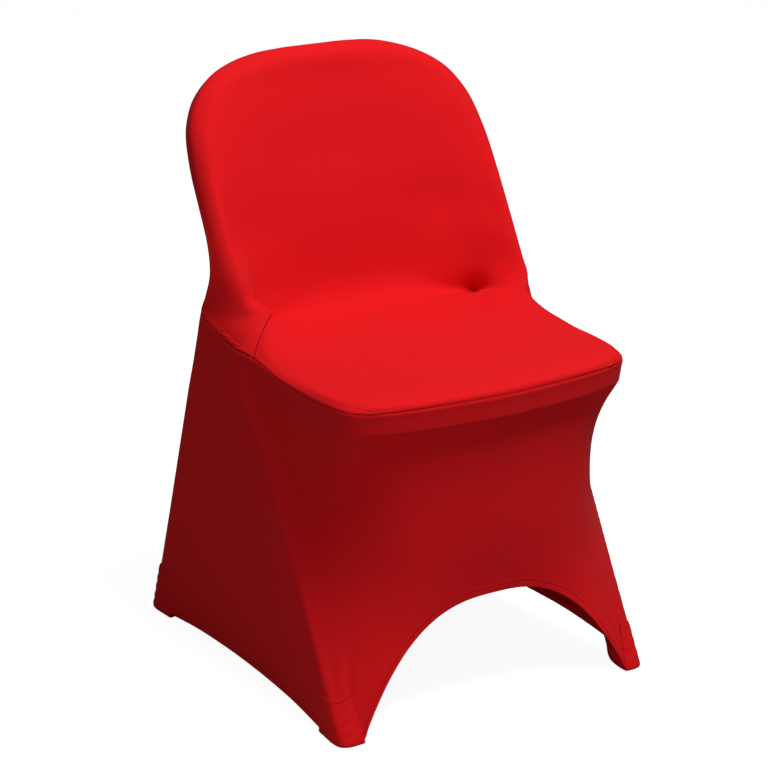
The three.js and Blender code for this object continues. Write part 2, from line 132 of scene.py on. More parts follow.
# %% Sections of the seat and back panel
COLUMNS = ("edge", "shoulder", "ridge", "flank", "mid", "lap", "centre")     # from the outside in
SECTIONS = {
    "top_seam": ((92, 191, 805), (78, 192, 807), (62, 192, 808), (46, 192, 809),
                 (30, 192, 809), (15, 192, 809), (0, 192, 809)),
    "crest": ((128, 187, 797), (112, 183, 807), (87, 180, 813), (64, 179, 815),
              (42, 179, 816), (21, 179, 816), (0, 179, 816)),
    "brow": ((164, 180, 782), (161, 169, 793), (137, 158, 797), (103, 158, 802),
             (68, 160, 805), (34, 161, 806), (0, 162, 806)),
    "upper": ((197, 166, 757), (200, 151, 767), (180, 140, 771), (141, 144, 774),
              (93, 149, 777), (46, 153, 778), (0, 155, 778)),
    "high": ((218, 147, 721), (224, 131, 726), (210, 117, 728), (171, 123, 730),
             (115, 133, 731), (57, 140, 731), (0, 143, 731)),
    "chest": ((226, 126, 680), (232, 110, 681), (220, 93, 682), (188, 102, 683),
              (131, 118, 683), (65, 129, 683), (0, 133, 683)),
    "middle": ((228, 103, 635), (234, 85, 636), (223, 68, 637), (199, 80, 637),
               (143, 104, 637), (71, 117, 637), (0, 121, 637)),
    "low": ((228, 83, 590), (235, 61, 591), (224, 43, 592), (206, 57, 591),
            (153, 93, 590), (77, 109, 590), (0, 112, 590)),
    "waist": ((227, 76, 553), (235, 42, 551), (225, 20, 551), (208, 32, 550),
              (163, 75, 546), (85, 102, 545), (0, 107, 545)),
    "neck": ((226, 90, 516), (236, 36, 514), (226, 2, 518), (203, 24, 514),
             (168, 63, 508), (93, 96, 505), (0, 104, 504)),
    "joint": ((224, 114, 484), (237, 46, 497), (226, -7, 505), (201, 18, 503),
              (171, 59, 493), (99, 91, 491), (0, 100, 490)),
    "side": ((230, 66, 471), (237, 24, 483), (222, -14, 496), (199, 12, 495),
             (174, 59, 482), (103, 86, 482), (0, 95, 481)),
    "tube": ((231, 14, 460), (231, -9, 472), (216, -20, 489), (196, 6, 489),
             (176, 60, 474), (108, 80, 475), (0, 88, 473)),
    "slit": ((228, -40, 458), (220, -33, 470), (207, -26, 483), (192, 0, 484),
             (178, 61, 467), (112, 70, 470), (0, 77, 467)),
    "lap": ((227, -66, 456), (220, -58, 463), (203, -46, 470), (177, -15, 478),
            (152, 26, 472), (93, 46, 466), (0, 50, 462)),
    "seat_rear": ((226, -98, 452), (220, -91, 459), (206, -82, 463), (174, -60, 467),
                  (132, -28, 463), (78, -10, 460), (0, -6, 459)),
    "seat_mid": ((225, -138, 449), (220, -133, 455), (207, -129, 458), (167, -114, 460),
                 (114, -89, 458), (58, -80, 457), (0, -78, 457)),
    "seat_fore": ((223, -181, 446), (218, -176, 455), (207, -172, 457), (163, -162, 458),
                  (110, -152, 457), (54, -148, 457), (0, -147, 457)),
    "seat_front": ((219, -224, 446), (213, -217, 455), (202, -211, 457), (156, -209, 457),
                   (103, -211, 457), (50, -212, 457), (0, -212, 457)),
    "corner": ((211, -249, 446), (205, -243, 454), (194, -241, 457), (149, -250, 457),
               (98, -257, 457), (48, -261, 457), (0, -262, 457)),
    "roll": ((202, -258, 446), (192, -261, 452), (174, -267, 453), (138, -276, 453),
             (92, -282, 453), (46, -286, 453), (0, -288, 453)),
    "rim_seam": ((191, -264, 446), (176, -270, 446), (158, -275, 446), (128, -281, 446),
                 (88, -286, 446), (44, -290, 446), (0, -292, 446)),
}
# The folding joint of the form stands higher on the left, where the cloth makes a round pillow over it.
LEFT_JOINT = {
    "middle": {"edge": (230, 97, 635), "shoulder": (227, 80, 636), "ridge": (214, 67, 637)},
    "low": {"edge": (234, 68, 590), "shoulder": (227, 50, 591), "ridge": (212, 40, 592)},
    "waist": {"edge": (238, 56, 553), "shoulder": (227, 30, 553), "ridge": (211, 17, 552),
              "flank": (199, 30, 552)},
    "neck": {"edge": (242, 62, 525), "shoulder": (229, 27, 519), "ridge": (210, 7, 523),
             "flank": (194, 17, 523)},
    "joint": {"edge": (245, 70, 502), "shoulder": (231, 28, 509), "ridge": (208, 3, 517),
              "flank": (190, 11, 519), "mid": (168, 55, 496)},
    "side": {"edge": (243, 40, 486), "shoulder": (229, 17, 498), "ridge": (204, -1, 510),
             "flank": (185, 8, 515), "mid": (168, 52, 490)},
    "tube": {"edge": (237, 2, 471), "shoulder": (224, -7, 487), "ridge": (201, -8, 503),
             "flank": (180, 6, 512), "mid": (167, 48, 488)},
    "slit": {"edge": (228, -40, 463), "shoulder": (214, -28, 479), "ridge": (196, -15, 496),
             "flank": (176, 3, 505), "mid": (163, 40, 485)},
    "lap": {"edge": (227, -66, 459), "shoulder": (217, -56, 469), "ridge": (199, -43, 478),
            "flank": (172, -24, 482), "mid": (149, 14, 475)},
    "seat_rear": {"ridge": (205, -82, 465), "flank": (174, -60, 468)},
}
# The roll at its edge is also rounder on the left: these lie closer to the middle from "upper" to "chest".
LEFT_ROLL = {"shoulder": 6, "ridge": 8, "flank": 5}
# How far a section lies to the right of the middle, where the cover sits askew
SIDEWAYS = {"top_seam": -3, "crest": -4, "brow": -5, "upper": -4, "high": -2}
# The table is drawn about the middle of the seat. This brings the middle of the cover's box to the origin.
TO_ORIGIN = (-5, 3, 0)
STEPS_ACROSS = (2, 2, 2, 3, 2, 2)
STEPS_DOWN = {"crest": 2, "brow": 2, "upper": 2, "joint": 3, "side": 2, "tube": 3, "seat_front": 2}

# %% Coarse grid of the seat and back panel
LEFTWARDS = (-1, 1, 1)


def whole_section(half):
    """A section from its left edge to its right edge, from the right half that the table gives."""
    half = np.array(half, float)
    return np.concatenate([half * LEFTWARDS, half[-2::-1]])


steps_down = [STEPS_DOWN.get(name, 1) for name in list(SECTIONS)[:-1]]
row_of = dict(zip(SECTIONS, np.cumsum([0, *steps_down])))
sections = np.array([whole_section(half) for half in SECTIONS.values()])
first, final = (list(SECTIONS).index(name) for name in ("upper", "chest"))
for column, inward in LEFT_ROLL.items():
    sections[first:final + 1, COLUMNS.index(column), 0] += inward
for name, changes in LEFT_JOINT.items():
    for column, place in changes.items():
        sections[list(SECTIONS).index(name), COLUMNS.index(column)] = np.array(place) * LEFTWARDS
sections[..., 0] += np.array([SIDEWAYS.get(name, 0) for name in SECTIONS])[:, None]
tall = curve_at(sections, places_of(steps_down))
body = curve_at(tall.swapaxes(0, 1), places_of(STEPS_ACROSS + STEPS_ACROSS[::-1])).swapaxes(0, 1)
print("seat and back panel:", body.shape[:2], "rows and columns of coarse points")

# %% [markdown]
# The skirt hangs from the seat's rim and is held by the feet. Between those, nothing touches it but the
# legs, so it settles like a film: each free point lies at the mean of its four neighbours. A stretch knit
# pulls harder across than down, and the weights below say so. Points on the legs, the rim, the hems and
# the flat band under the front of the seat are pinned.

# %% Legs of the form, and the hems between the feet
LEG_RADIUS = 13
LEGS = {
    "front": {-1: {"foot": -251, "slope": 0.53, "half_track": 220},
              1: {"foot": -258, "slope": 0.53, "half_track": 231}},
    "rear": {-1: {"foot": 271, "slope": -0.345, "half_track": 210},
             1: {"foot": 270, "slope": -0.345, "half_track": 208}},
}
FOOT_CLEAR = 4           # mm from the floor to the hem's lowest point
SEAT_HEIGHT = 450
# How far cloth goes round the front leg, low down and high up
WRAP_LOW, WRAP_HIGH = np.radians([88, 20])
REAR_SEAM_ANGLE = np.radians(-45)
REAR_WRAP = np.radians(-90)
FRONT_ARCH = {"rise": 154, "power": 2.7, "bow": 16, "half_width": 208, "centre": 8}
REAR_ARCH = {"rise": 120, "power": 2.3, "bow": -22, "half_width": 200, "centre": 0}
SIDE_ARCHES = {-1: {"rise": 12, "power": 2, "bow": 7}, 1: {"rise": 30, "power": 3, "bow": 9}}


def on_leg(leg, side, z, angle):
    """A place on a leaning leg: side is -1 left, 1 right, and angle turns from straight out to the front."""
    z, angle = np.broadcast_arrays(np.asarray(z, float), np.asarray(angle, float))
    leg = LEGS[leg][side]
    x = side * (leg["half_track"] + LEG_RADIUS * np.cos(angle))
    y = leg["foot"] + leg["slope"] * z - LEG_RADIUS * np.sin(angle)
    return np.stack([x, y, z], -1)


def arch_rise(arch, u):
    """Height of a hem over its ends, as a flattened arch: rise * (1 - |u| ^ power), u from -1 to 1."""
    return arch["rise"] * (1 - np.abs(u) ** arch["power"])


def arch_points(arch, u, foot_y):
    rise = arch_rise(arch, u)
    x = arch["centre"] + u * arch["half_width"]
    return np.stack([x, foot_y + arch["bow"] * rise / arch["rise"], FOOT_CLEAR + rise], -1)


def arch_share(arch, share, samples=201):
    """Turns a share of the arch's length into its place across, from -1 to 1."""
    u = np.linspace(-1, 1, samples)
    steps = np.linalg.norm(np.diff(arch_points(arch, u, 0), axis=0), axis=1)
    length = np.concatenate([[0], np.cumsum(steps)])
    return np.interp(np.clip(share, 0, 1) * length[-1], length, u)


# %% Film
def settle(grid, pinned, along, down, sweeps=3000):
    """Moves each free point to the weighted mean of its neighbours, over and over, until the film rests."""
    total = 2 * (along + down)
    free = ~pinned[1:-1, 1:-1, None]
    for _ in range(sweeps):
        beside = along * (grid[1:-1, :-2] + grid[1:-1, 2:])
        above_and_below = down * (grid[:-2, 1:-1] + grid[2:, 1:-1])
        mean = (beside + above_and_below) / total
        grid[1:-1, 1:-1] = np.where(free, mean, grid[1:-1, 1:-1])
    return grid


# %% Coarse grid of the skirt
SKIRT_STEPS = 12
BAND_HEIGHT = 30
BAND_INSET = 3
BAND_BACK_Y = -190       # behind this the cloth leaves the rim and runs straight to the leg
RIM_HOLD = 4             # the cloth lets go of the rim over a quarter of its way down the leg

joint = row_of["joint"]
ridge = row_of["tube"] + 1 - joint       # column of the skirt that comes down on the front leg
rim = np.concatenate([body[joint:, 0], body[-1, 1:-1], body[joint:, -1][::-1]])
last = len(rim) - 1
skirt = np.repeat(rim[None], SKIRT_STEPS + 1, axis=0)
skirt_pinned = np.zeros(skirt.shape[:2], bool)
skirt_pinned[[0, -1]] = True
down_share = np.linspace(0, 1, SKIRT_STEPS + 1)


def pin(column, points, rows=slice(1, None)):
    skirt[rows, column] = points[rows]
    skirt_pinned[rows, column] = True


for side in (-1, 1):
    at = [c if side < 0 else last - c for c in range(ridge + 2)]
    seam_foot, side_foot = (on_leg("rear", side, FOOT_CLEAR, angle) for angle in (REAR_SEAM_ANGLE, 0))
    pin(at[0], mix(rim[at[0]], seam_foot, down_share[:, None]))
    pin(at[1], mix(rim[at[1]], side_foot, down_share[:, None]))
    hold = 1 - smooth(down_share * RIM_HOLD)[:, None]
    for step, turn in ((-1, 0), (0, 0.5), (1, 1)):
        start = rim[at[ridge + step]]
        z = mix(start[2], FOOT_CLEAR, down_share)
        wrap = mix(WRAP_LOW, WRAP_HIGH, np.clip(z / SEAT_HEIGHT, 0, 1))
        hanging = np.stack([np.full_like(z, start[0]), np.full_like(z, start[1]), z], -1)
        pin(at[ridge + step], mix(on_leg("front", side, z, wrap * turn), hanging, hold))
    arch = SIDE_ARCHES[side]
    t = np.arange(1, ridge - 2) / (ridge - 2)
    rise = arch_rise(arch, 2 * t - 1)
    hem = mix(skirt[-1, at[1]], skirt[-1, at[ridge - 1]], t[:, None])
    hem += np.stack([-side * arch["bow"] * rise / arch["rise"], 0 * rise, rise], -1)
    skirt[-1, at[2:ridge - 1]] = hem

between_legs = np.arange(ridge + 2, last - ridge - 1)
rim_steps = np.linalg.norm(np.diff(rim[ridge:last - ridge + 1], axis=0), axis=1)
along_rim = np.concatenate([[0], np.cumsum(rim_steps)])
share = (along_rim[between_legs - ridge] - along_rim[2]) / (along_rim[-3] - along_rim[2])
foot_y = mix(skirt[-1, ridge + 1, 1], skirt[-1, last - ridge - 1, 1], share)
skirt[-1, between_legs] = arch_points(FRONT_ARCH, arch_share(FRONT_ARCH, share), foot_y)

banded = np.arange(ridge, last - ridge + 1)
banded = banded[rim[banded, 1] <= BAND_BACK_Y]
band_foot = rim[banded] + (0, BAND_INSET, -BAND_HEIGHT)
band_foot[:, 0] -= np.sign(band_foot[:, 0]) * np.minimum(BAND_INSET, np.abs(band_foot[:, 0]) / 60)
skirt[1, banded] = band_foot
skirt_pinned[1, banded] = True
settle(skirt, skirt_pinned, along=1, down=0.8)
print("skirt:", skirt.shape[:2], "rows and columns of coarse points")

# %% Coarse grid of the rear panel
right_side = np.concatenate([body[:joint + 1, -1], skirt[1:, -1]])
left_side = np.concatenate([body[:joint + 1, 0], skirt[1:, 0]])
rear_columns = body.shape[1]
across = np.linspace(0, 1, rear_columns)[:, None]
rear = right_side[:, None] + (left_side - right_side)[:, None] * across
rear[0] = body[0, ::-1]
rear_pinned = np.zeros(rear.shape[:2], bool)
rear_pinned[[0, -1]] = True
rear_pinned[:, [0, -1]] = True
LEG_TAKES_OVER = 3       # rows over which the hood's side turns into the leg
below_hood = np.arange(joint + 1, len(rear))
onto_leg = smooth((below_hood - joint) / LEG_TAKES_OVER)[:, None]
for column, edge, side in ((1, 0, 1), (rear_columns - 2, rear_columns - 1, -1)):
    leg_place = on_leg("rear", side, rear[below_hood, edge, 2], REAR_WRAP)
    rear[below_hood, column] = mix(rear[below_hood, column], leg_place, onto_leg)
    rear_pinned[below_hood, column] = onto_leg[:, 0] == 1
hem_columns = np.arange(2, rear_columns - 2)
hem_share = (hem_columns - 2) / (rear_columns - 5)
rear[-1, hem_columns] = arch_points(REAR_ARCH, -arch_share(REAR_ARCH, hem_share), rear[-1, 1, 1])
settle(rear, rear_pinned, along=1, down=0.3)
print("rear panel:", rear.shape[:2], "rows and columns of coarse points")

# %% [markdown]
# A seam is only 2 mm wide and a hem 12 mm, while the cloth between them is smooth for half a metre. So
# the fine grids get close rows and columns beside every edge, at set distances in mm, and even ones
# between. Each fine point also keeps its place in the coarse grid, so that a fold can be put "at the
# flank, half way to the lap".

# %% Fine grids
DENSE = 6                # fine steps for each coarse one, before the rows and columns are spaced again
SAME = 1e-6              # two places in a grid that are closer than this are one
SEAM_LINES = (0, 0.5, 1, 1.5, 2.1, 2.8, 3.6, 4.6, 6, 7.5, 9, 11, 13.5, 16.5, 20)
HEM_LINES = (0, 0.6, 1.4, 2.6, 4, 5.5, 7, 8.2, 9, 9.6, 10.2, 10.8, 11.4, 12, 12.6, 13.4, 14.6, 16.5, 19, 22)


def with_places(grid):
    """Adds each point's row and column in the coarse grid as a fourth and fifth value."""
    rows, columns = np.indices(grid.shape[:2])
    return np.concatenate([grid, rows[..., None], columns[..., None]], axis=-1)


def dense(grid, kink=None):
    """A grid with more rows and columns on smooth curves through the coarse ones.
    A kink is a coarse row where the cloth is bent sharply, so the curves above and below it don't join."""
    grid = with_places(grid)
    rows = np.arange(0, len(grid) - 1 + SAME, 1 / DENSE)
    if kink is None:
        tall = curve_at(grid, rows)
    else:
        above = rows[rows < kink - SAME]
        lower = rows[rows >= kink - SAME]
        tall = np.concatenate([curve_at(grid[:kink + 1], above), curve_at(grid[kink:], lower - kink)])
    columns = np.arange(0, grid.shape[1] - 1 + SAME, 1 / DENSE)
    return curve_at(tall.swapaxes(0, 1), columns).swapaxes(0, 1)


def run_along(grid):
    """Distance in mm of each point from the first row, along its column."""
    steps = np.linalg.norm(np.diff(grid[..., :3], axis=0), axis=-1)
    return np.concatenate([np.zeros((1, grid.shape[1])), np.cumsum(steps, axis=0)])


def spaced(grid, start, end, between):
    """The same surface with rows at set distances from its first and last row, and even ones between."""
    run = run_along(grid)
    length = run[-1]
    first = np.array(start)[:, None] + 0 * length
    final = length - np.array(end)[::-1, None]
    share = np.linspace(0, 1, between + 2)[1:-1, None]
    wanted = np.concatenate([first, mix(first[-1], final[0], share), final])
    lane = 2 * np.arange(grid.shape[1])          # keeps the columns apart, so that one call reads them all
    known, asked = ((run / length + lane).T.ravel(), (wanted / length + lane).T.ravel())
    values = [np.interp(asked, known, grid[..., k].T.ravel()) for k in range(grid.shape[-1])]
    return np.stack(values, -1).reshape(grid.shape[1], len(wanted), -1).swapaxes(0, 1)


def fine(grid, top, bottom, sides, rows, columns, kink=None):
    """Dense, then spaced down and across."""
    down = spaced(dense(grid, kink), top, bottom, rows)
    return spaced(down.swapaxes(0, 1), sides, sides, columns).swapaxes(0, 1)


body_fine = fine(body, SEAM_LINES, SEAM_LINES, SEAM_LINES, rows=170, columns=120)
BAND_LINES = (0, 0.5, 1, 1.5, 2.1, 2.8, 3.6, 4.6, 6, 8, 11, 14, 17, 20, 23, 25.5, 27.5, 29, 30, 31, 32.5,
              34.5, 37, 40)
skirt_fine = fine(skirt, BAND_LINES, HEM_LINES, SEAM_LINES, rows=60, columns=300, kink=1)
rear_fine = fine(rear, SEAM_LINES, HEM_LINES, SEAM_LINES, rows=130, columns=90)
for name, grid in (("seat and back", body_fine), ("skirt", skirt_fine), ("rear", rear_fine)):
    print(name, grid.shape[:2], "fine rows and columns")


# %% [markdown]
# Detail is a height over the smooth surface, in mm, positive outwards. Seams draw the cloth's edge
# inwards and leave a soft ridge where the turned-in edge lies under the cloth. Hems stand proud by their
# second layer, with the twin needle's groove at the top. Both are functions of the distance from an edge.

# %% Heights at seams and hems
SEAM_DIP = 0.9           # mm that the edge goes in at a seam
SEAM_DIP_WIDTH = 1.7
ALLOWANCE = 8            # mm of cloth turned in behind a seam
ALLOWANCE_RIDGE = 0.35
HEM_WIDTH = 12
HEM_LAYER = 0.7          # mm by which the turned-up layer lifts the hem
NEEDLE_GROOVE = 0.7
GROOVE_WIDTH = 0.55
NEEDLE_LINES = (8.6, 10.6)


def seam_height(distance):
    """A dip at the edge, then a low ridge as wide as the cloth that is turned in behind it."""
    ridge_shape = smooth((distance - 1.5) / 2) * (1 - smooth((distance - ALLOWANCE + 1) / 2))
    return ALLOWANCE_RIDGE * ridge_shape - SEAM_DIP * bell(distance, SEAM_DIP_WIDTH)


def hem_height(distance):
    """A doubled layer up to the hem's width, with a fine groove at each of the twin needle's lines."""
    layer = HEM_LAYER * (1 - smooth((distance - HEM_WIDTH + 1) / 1.6))
    grooves = sum(bell(distance - line, GROOVE_WIDTH) for line in NEEDLE_LINES)
    return layer - NEEDLE_GROOVE * grooves


def normals_of(grid):
    """Unit normals to the worn outside: down the rows crossed with along the columns."""
    down, along = np.gradient(grid[..., :3], axis=(0, 1))
    normal = np.cross(down, along)
    return normal / np.linalg.norm(normal, axis=-1, keepdims=True)


def edge_distances(grid):
    """Distances in mm from the top, bottom, left and right edges."""
    top = run_along(grid)
    left = run_along(grid.swapaxes(0, 1)).swapaxes(0, 1)
    return top, top[-1] - top, left, left[:, -1:] - left


def raised(grid, height):
    """The grid moved out along its normals by a height in mm."""
    out = grid.copy()
    out[..., :3] += normals_of(grid) * height[..., None]
    return out


# %% Seams and hems on the three pieces
body_edges, skirt_edges, rear_edges = (edge_distances(grid) for grid in (body_fine, skirt_fine, rear_fine))
body_height = sum(seam_height(edge) for edge in body_edges)
skirt_height, rear_height = (seam_height(top) + seam_height(left) + seam_height(right) + hem_height(bottom)
                             for top, bottom, left, right in (skirt_edges, rear_edges))

# %% [markdown]
# Some shapes are too small for the tables. A dart, which is a wedge of cloth sewn away, turns the corner
# from the back to the seat on each side, and its point draws the cloth into a dimple. The band under the
# front of the seat stands proud of the skirt. The seam is gathered over the folding joint, where it
# puckers. Each of these is one more height, written with the distance from a place or a line.

# %% Dimples, band and puckers
SLIT_ROW = row_of["slit"]
MID_COLUMN = 9                       # coarse column of the dart's point, from the nearer edge
DIMPLE = {"depth": 8, "width": 6.5}
HOLLOW = {"depth": 3.5, "width": 20}
BAND_STEP = 13                       # mm that the skirt stands back under the band
BAND_FADE = 190                      # mm over which it comes forward again
BAND_ENDS = {"x": 206, "fade": 26}   # where the band runs out round the corner
PUCKER = {"pitch": 8.5, "depth": 1.2, "reach": 10, "uneven": 0.35, "drift": 7.3, "soft_end": 0.7}
NUB = {"height": 2.6, "width": 2.4}  # the end of the rim seam's thread, at the right front corner
# Soft folds that fan up from each front toe: how many, how high, and between which heights over the floor
FAN = {"folds": 6, "height": 1.6, "from": 35, "full": 60, "fades": 70, "to": 130}
FAN_ROOT = 40                        # mm under the floor where the folds would meet
FAN_MIDDLE = -22                     # mm from the toe's outer side to the middle of the fan
FAN_WIDTH = 26
FRONT_Y = -150                       # the front face of the skirt lies before this
body_across = body.shape[1] - 1


def nearest(grid, row, column):
    """The fine point that lies nearest to a place in the coarse grid."""
    gap = (grid[..., 3] - row) ** 2 + (grid[..., 4] - column) ** 2
    return grid[np.unravel_index(gap.argmin(), gap.shape)][:3]


def away_from(grid, place):
    """Distance in mm of each point from a place."""
    return np.linalg.norm(grid[..., :3] - place, axis=-1)


for column in (MID_COLUMN, body_across - MID_COLUMN):
    reach = away_from(body_fine, nearest(body_fine, SLIT_ROW, column))
    body_height -= sum(dip["depth"] * bell(reach, dip["width"]) for dip in (DIMPLE, HOLLOW))
thread_end = away_from(body_fine, nearest(body_fine, len(body) - 1, body_across - 2))
body_height += NUB["height"] * bell(thread_end, NUB["width"])

below_rim = skirt_edges[0]
front_part = smooth((BAND_ENDS["x"] - np.abs(skirt_fine[..., 0])) / BAND_ENDS["fade"])
front_part = front_part * smooth((BAND_BACK_Y - skirt_fine[:1, :, 1]) / 20)
step_back = smooth((below_rim - BAND_HEIGHT) / 2.5) * (1 - smooth((below_rim - BAND_HEIGHT - 8) / BAND_FADE))
skirt_height -= BAND_STEP * step_back * front_part

for side in (-1, 1):
    toe = LEGS["front"][side]
    across_toe = side * (skirt_fine[..., 0] - side * (toe["half_track"] + 8))
    above_toe = np.maximum(skirt_fine[..., 2], 1)
    spread = across_toe / (above_toe + FAN_ROOT)
    rises = smooth((above_toe - FAN["from"]) / (FAN["full"] - FAN["from"]))
    fades = smooth((above_toe - FAN["fades"]) / (FAN["to"] - FAN["fades"]))
    near_toe = bell(across_toe - FAN_MIDDLE, FAN_WIDTH) * (skirt_fine[..., 1] < FRONT_Y)
    folds = np.sin(2 * np.pi * FAN["folds"] * spread)
    skirt_height += FAN["height"] * rises * (1 - fades) * near_toe * folds


def puckers(edge, run, place, low, high):
    """Ripples that run square to a seam and die out away from it, between two coarse rows or columns."""
    soft = PUCKER["soft_end"]
    window = smooth((place - low) / soft) * (1 - smooth((place - high + soft) / soft))
    uneven = 1 + PUCKER["uneven"] * np.sin(run / PUCKER["drift"])
    ripples = np.sin(2 * np.pi * run / PUCKER["pitch"] * uneven)
    return PUCKER["depth"] * ripples * bell(edge, PUCKER["reach"]) * window


body_run = run_along(body_fine)
for edge in body_edges[2:]:
    body_height += puckers(edge, body_run, body_fine[..., 3], row_of["side"], SLIT_ROW)

# %% [markdown]
# Cloth has a thickness, so each surface becomes a closed shell: the outside, the inside, and a rounded
# edge that joins them. The shell is drawn back a little along its edge, so that two sewn pieces don't run
# into each other.

# %% Shells
LINE_NAMES = ("seam", "hem", "dart", "run")
FAR = 99                 # mm, where a piece has no such line
HALF_CLOTH = 0.7         # mm from the middle surface to the outside and to the inside
EDGE_BACK = 0.35         # mm that a sewn edge is drawn back
EDGE_ROUND = 0.6         # how far the rounded edge stands out, as a share of half the cloth
root_pieces = []


def border_of(rows, columns):
    """Indices round the grid's border, in order."""
    grid = np.arange(rows * columns).reshape(rows, columns)
    return np.concatenate([grid[0, :-1], grid[:-1, -1], grid[-1, :0:-1], grid[:0:-1, 0]])


def mesh_piece(name, points, faces, uv=None):
    """An object from points in mm and faces of four, at the origin, smooth."""
    mesh = bpy.data.meshes.new(name)
    mesh.vertices.add(len(points))
    placed = (np.asarray(points) + TO_ORIGIN) * MM
    mesh.vertices.foreach_set("co", placed.astype(np.float32).ravel())
    mesh.loops.add(faces.size)
    mesh.loops.foreach_set("vertex_index", faces.astype(np.int32).ravel())
    mesh.polygons.add(len(faces))
    mesh.polygons.foreach_set("loop_start", np.arange(0, faces.size, faces.shape[1], dtype=np.int32))
    mesh.update(calc_edges=True)
    mesh.polygons.foreach_set("use_smooth", np.ones(len(faces), bool))
    if uv is not None:
        layer = mesh.uv_layers.new(name="cloth")
        layer.data.foreach_set("uv", (uv[faces.ravel()] * MM).astype(np.float32).ravel())
    mesh.validate()
    piece = bpy.data.objects.new(name, mesh)
    bpy.context.scene.collection.objects.link(piece)
    root_pieces.append(piece)
    return piece


def cloth_coordinates(grid):
    """Where each point lies along the worn cloth, in mm across from its middle and down from its top row."""
    across = run_along(grid.swapaxes(0, 1)).swapaxes(0, 1)
    middle = across[:, across.shape[1] // 2, None]
    return np.stack([across - middle, -run_along(grid)], -1)


def shell(name, grid, lines, back=EDGE_BACK):
    """A closed cloth shell round a grid. Lines are distances in mm to the sewn lines of the material."""
    rows, columns = grid.shape[:2]
    normal = normals_of(grid)
    middle = grid[..., :3].copy()
    inner = middle[np.clip(np.arange(rows), 1, rows - 2)][:, np.clip(np.arange(columns), 1, columns - 2)]
    way = inner - middle
    way -= normal * (way * normal).sum(-1, keepdims=True)
    length = np.linalg.norm(way, axis=-1, keepdims=True)
    inward = np.where(length > 0, way / np.maximum(length, 1e-9), 0)
    middle += inward * back
    outside = (middle + normal * HALF_CLOTH).reshape(-1, 3)
    inside = (middle - normal * HALF_CLOTH).reshape(-1, 3)
    border = border_of(rows, columns)
    rounded = (middle - inward * HALF_CLOTH * EDGE_ROUND).reshape(-1, 3)[border]
    points = np.concatenate([outside, inside, rounded])
    corner = np.arange(rows * columns).reshape(rows, columns)
    quads = np.stack([corner[:-1, :-1], corner[1:, :-1], corner[1:, 1:], corner[:-1, 1:]], -1).reshape(-1, 4)
    count = rows * columns
    ring = 2 * count + np.arange(len(border))
    nxt = np.roll(np.arange(len(border)), -1)
    outer_edge = np.stack([border, border[nxt], ring[nxt], ring], -1)
    inner_edge = np.stack([ring, ring[nxt], border[nxt] + count, border + count], -1)
    faces = np.concatenate([quads, quads[:, ::-1] + count, outer_edge, inner_edge])
    flat = cloth_coordinates(grid).reshape(-1, 2)
    piece = mesh_piece(name, points, faces, np.concatenate([flat, flat, flat[border]]))
    for line in LINE_NAMES:
        values = lines.get(line, np.full((rows, columns), FAR)).reshape(-1)
        values = np.concatenate([values, values, values[border]])
        attribute = piece.data.attributes.new(line, "FLOAT", "POINT")
        attribute.data.foreach_set("value", values.astype(np.float32))
    print(name, len(points), "points,", 2 * len(faces), "triangles")
    return piece


def area_of(grid):
    """Area of the middle surface in square metres."""
    down, along = np.diff(grid[..., :3], axis=0)[:, :-1], np.diff(grid[..., :3], axis=1)[:-1]
    return np.linalg.norm(np.cross(down, along), axis=-1).sum() * MM * MM


# %% Sewn lines, as distances
def sewn_lines(grid, edges, hem):
    """Distance to the nearest sewn edge and to the hem's fold, and the way run along that line."""
    top, bottom, left, right = edges
    sewn = [top, left, right] if hem else [top, bottom, left, right]
    down = run_along(grid)
    along = run_along(grid.swapaxes(0, 1)).swapaxes(0, 1)
    beside = np.minimum(left, right) < (top if hem else np.minimum(top, bottom))
    return {"seam": np.minimum.reduce(sewn), "hem": bottom if hem else np.full_like(top, FAR),
            "run": np.where(beside & (bottom > 20), down, along)}


body_lines = sewn_lines(body_fine, body_edges, hem=False)
coarse_rows = np.maximum(np.gradient(body_fine[..., 3], axis=0), SAME)
row_height = np.gradient(run_along(body_fine), axis=0) / coarse_rows      # mm for each coarse row
# Only the left dart is drawn, since the right one doesn't show in the photo.
past_point = body_fine[..., 4] - MID_COLUMN
body_lines["dart"] = np.where(past_point > 0, FAR, (body_fine[..., 3] - SLIT_ROW) * row_height)

# %% The three large pieces
body_fine = raised(body_fine, body_height)
skirt_fine = raised(skirt_fine, skirt_height)
rear_fine = raised(rear_fine, rear_height)
LARGE = (
    ("seat_and_back_cloth", "seat_and_back_panel", body_fine, (0.71, 0.80), body_lines),
    ("skirt_cloth", "skirt", skirt_fine, (1.62, 0.52), sewn_lines(skirt_fine, skirt_edges, hem=True)),
    ("rear_cloth", "rear_panel", rear_fine, (0.50, 0.91), sewn_lines(rear_fine, rear_edges, hem=True)),
)
STRETCH = 1.1            # worn area over flat area
for name, node, grid, flat, lines in LARGE:
    piece = shell(name, grid, lines)
    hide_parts(node)
    cloth_share = area_of(grid) / STRETCH / flat[0] / flat[1]
    print(name, "worn area", round(area_of(grid), 3), "share of its rectangle", round(cloth_share, 2))

# %% [markdown]
# At each foot a doubled patch goes round the corner of the hem, under the foot and up inside it as a short
# tongue. It is what keeps the cover tight.

